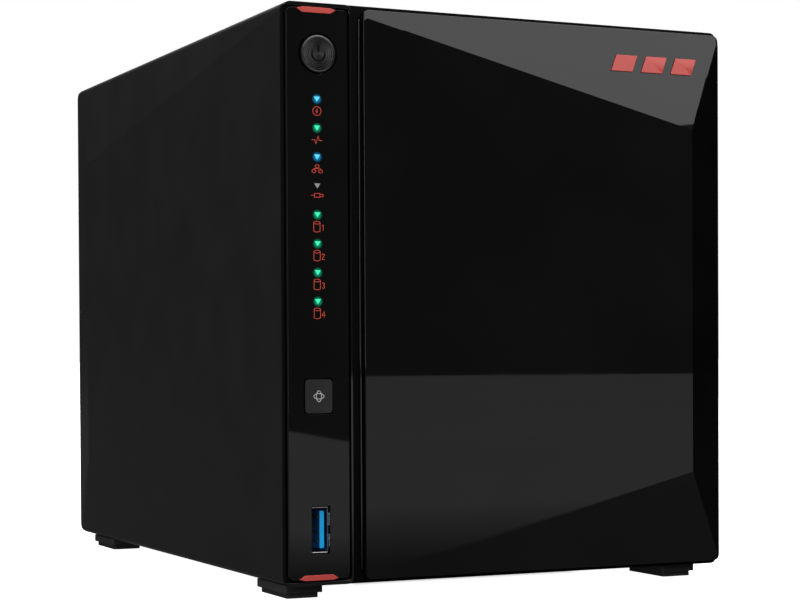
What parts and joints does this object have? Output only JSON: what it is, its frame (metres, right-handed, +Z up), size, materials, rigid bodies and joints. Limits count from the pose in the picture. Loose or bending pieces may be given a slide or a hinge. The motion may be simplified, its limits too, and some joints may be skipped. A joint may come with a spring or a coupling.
{
  "type": "network storage enclosure",
  "caption": "Upright desktop disk enclosure with a faceted lift-off door over its drive trays, a control strip with lamps, buttons and a USB socket, and stepped feet.",
  "frame": {"origin": "on the floor, under the middle of the bounding box", "axes": "+Z up, front faces -Y, control strip on the -X side"},
  "size_m": [0.154, 0.2196, 0.174],
  "materials": {
    "satin_black_plastic": "fine satin grain",
    "gloss_black_plastic": "polished",
    "grey_painted_steel": "fine powder coat",
    "zinc_steel": "rolled sheet",
    "rubber": "matt",
    "red_plastic": "satin",
    "grey_button_plastic": "fine satin grain",
    "blue_lamp": "lit lens",
    "green_lamp": "lit lens",
    "clear_lamp": "unlit lens",
    "nickel": "plated",
    "blue_plastic": "moulded",
    "circuit_board": "solder mask",
    "aluminium": "cast and machined"
  },
  "bodies": {
    "case": {"outer_cover": "satin_black_plastic", "base_plate": "grey_painted_steel", "rear_panel": "grey_painted_steel", "fan_grille": "grey_painted_steel", "front_bezel": "gloss_black_plastic", "control_fascia": "gloss_black_plastic", "accent_top": "red_plastic", "accent_bottom": "red_plastic", "strike_plates": "zinc_steel", "foot_front_left": "rubber", "foot_front_right": "rubber", "foot_back_left": "rubber", "foot_back_right": "rubber", "front_board": "circuit_board", "lamps_blue": "blue_lamp", "lamps_green": "green_lamp", "lamp_usb": "clear_lamp", "front_usb_shell": "nickel", "front_usb_tongue": "blue_plastic", "cage_left_wall": "zinc_steel", "cage_right_wall": "zinc_steel", "cage_floor": "zinc_steel", "cage_roof": "zinc_steel", "backplane_board": "circuit_board", "sata_connectors": "satin_black_plastic", "main_board": "circuit_board", "board_posts": "zinc_steel", "heat_sink": "aluminium", "clock_battery": "nickel", "network_jack": "nickel", "rear_usb_shells": "nickel", "rear_usb_tongues": "blue_plastic", "power_inlet": "satin_black_plastic", "fan_frame": "satin_black_plastic", "fan_screws": "zinc_steel", "cover_screws": "zinc_steel", "inner_screws": "zinc_steel"},
    "door": {"front_door": "gloss_black_plastic", "door_badge": "red_plastic", "door_magnets": "nickel"},
    "power_key": {"power_button": "gloss_black_plastic"},
    "backup_key": {"backup_button": "grey_button_plastic"},
    "reset_key": {"reset_button": "satin_black_plastic"},
    "rotor": {"fan_rotor": "grey_button_plastic"},
    "carrier_1": {"tray_1": "satin_black_plastic", "disk_1": "aluminium"},
    "lever_1": {"handle_1": "grey_button_plastic"},
    "catch_1": {"release_1": "red_plastic"},
    "carrier_2": {"tray_2": "satin_black_plastic", "disk_2": "aluminium"},
    "lever_2": {"handle_2": "grey_button_plastic"},
    "catch_2": {"release_2": "red_plastic"},
    "carrier_3": {"tray_3": "satin_black_plastic", "disk_3": "aluminium"},
    "lever_3": {"handle_3": "grey_button_plastic"},
    "catch_3": {"release_3": "red_plastic"},
    "carrier_4": {"tray_4": "satin_black_plastic", "disk_4": "aluminium"},
    "lever_4": {"handle_4": "grey_button_plastic"},
    "catch_4": {"release_4": "red_plastic"}
  },
  "joints": [
    {"name": "tray_1_slide", "type": "slide", "parent": "case", "child": "carrier_1", "axis": [0, -1, 0], "range_m": [0, 0.165]},
    {"name": "tray_2_slide", "type": "slide", "parent": "case", "child": "carrier_2", "axis": [0, -1, 0], "range_m": [0, 0.165]},
    {"name": "tray_3_slide", "type": "slide", "parent": "case", "child": "carrier_3", "axis": [0, -1, 0], "range_m": [0, 0.165]},
    {"name": "tray_4_slide", "type": "slide", "parent": "case", "child": "carrier_4", "axis": [0, -1, 0], "range_m": [0, 0.165]},
    {"name": "door_slide", "type": "slide", "parent": "case", "child": "door", "axis": [0, -1, 0], "range_m": [0, 0.363]},
    {"name": "handle_1_hinge", "type": "hinge", "parent": "carrier_1", "child": "lever_1", "pos_m": [-0.0342, -0.10165, 0.1475], "axis": [-1, 0, 0], "range_deg": [0, 76]},
    {"name": "handle_2_hinge", "type": "hinge", "parent": "carrier_2", "child": "lever_2", "pos_m": [-0.0042, -0.10165, 0.1475], "axis": [-1, 0, 0], "range_deg": [0, 76]},
    {"name": "handle_3_hinge", "type": "hinge", "parent": "carrier_3", "child": "lever_3", "pos_m": [0.0258, -0.10165, 0.1475], "axis": [-1, 0, 0], "range_deg": [0, 76]},
    {"name": "handle_4_hinge", "type": "hinge", "parent": "carrier_4", "child": "lever_4", "pos_m": [0.0558, -0.10165, 0.1475], "axis": [-1, 0, 0], "range_deg": [0, 76]},
    {"name": "release_1_press", "type": "slide", "parent": "carrier_1", "child": "catch_1", "axis": [0, 1, 0], "range_m": [0, 0.0015], "stiffness_N_per_m": 600},
    {"name": "release_2_press", "type": "slide", "parent": "carrier_2", "child": "catch_2", "axis": [0, 1, 0], "range_m": [0, 0.0015], "stiffness_N_per_m": 600},
    {"name": "release_3_press", "type": "slide", "parent": "carrier_3", "child": "catch_3", "axis": [0, 1, 0], "range_m": [0, 0.0015], "stiffness_N_per_m": 600},
    {"name": "release_4_press", "type": "slide", "parent": "carrier_4", "child": "catch_4", "axis": [0, 1, 0], "range_m": [0, 0.0015], "stiffness_N_per_m": 600},
    {"name": "power_press", "type": "slide", "parent": "case", "child": "power_key", "axis": [0, 1, 0], "range_m": [0, 0.0008], "stiffness_N_per_m": 800},
    {"name": "backup_press", "type": "slide", "parent": "case", "child": "backup_key", "axis": [0, 1, 0], "range_m": [0, 0.0008], "stiffness_N_per_m": 800},
    {"name": "reset_press", "type": "slide", "parent": "case", "child": "reset_key", "axis": [0, -1, 0], "range_m": [0, 0.0008], "stiffness_N_per_m": 400},
    {"name": "fan_spin", "type": "hinge", "parent": "case", "child": "rotor", "pos_m": [0.012, 0.08, 0.092], "axis": [0, 1, 0], "continuous": true}
  ],
  "couplings": [
    {"joint": "tray_2_slide", "follows": "tray_1_slide", "ratio": 1},
    {"joint": "tray_3_slide", "follows": "tray_1_slide", "ratio": 1},
    {"joint": "tray_4_slide", "follows": "tray_1_slide", "ratio": 1},
    {"joint": "door_slide", "follows": "tray_1_slide", "ratio": 2.2},
    {"joint": "handle_1_hinge", "follows": "tray_1_slide", "rad_per_m": 8},
    {"joint": "handle_2_hinge", "follows": "tray_1_slide", "rad_per_m": 8},
    {"joint": "handle_3_hinge", "follows": "tray_1_slide", "rad_per_m": 8},
    {"joint": "handle_4_hinge", "follows": "tray_1_slide", "rad_per_m": 8}
  ]
}
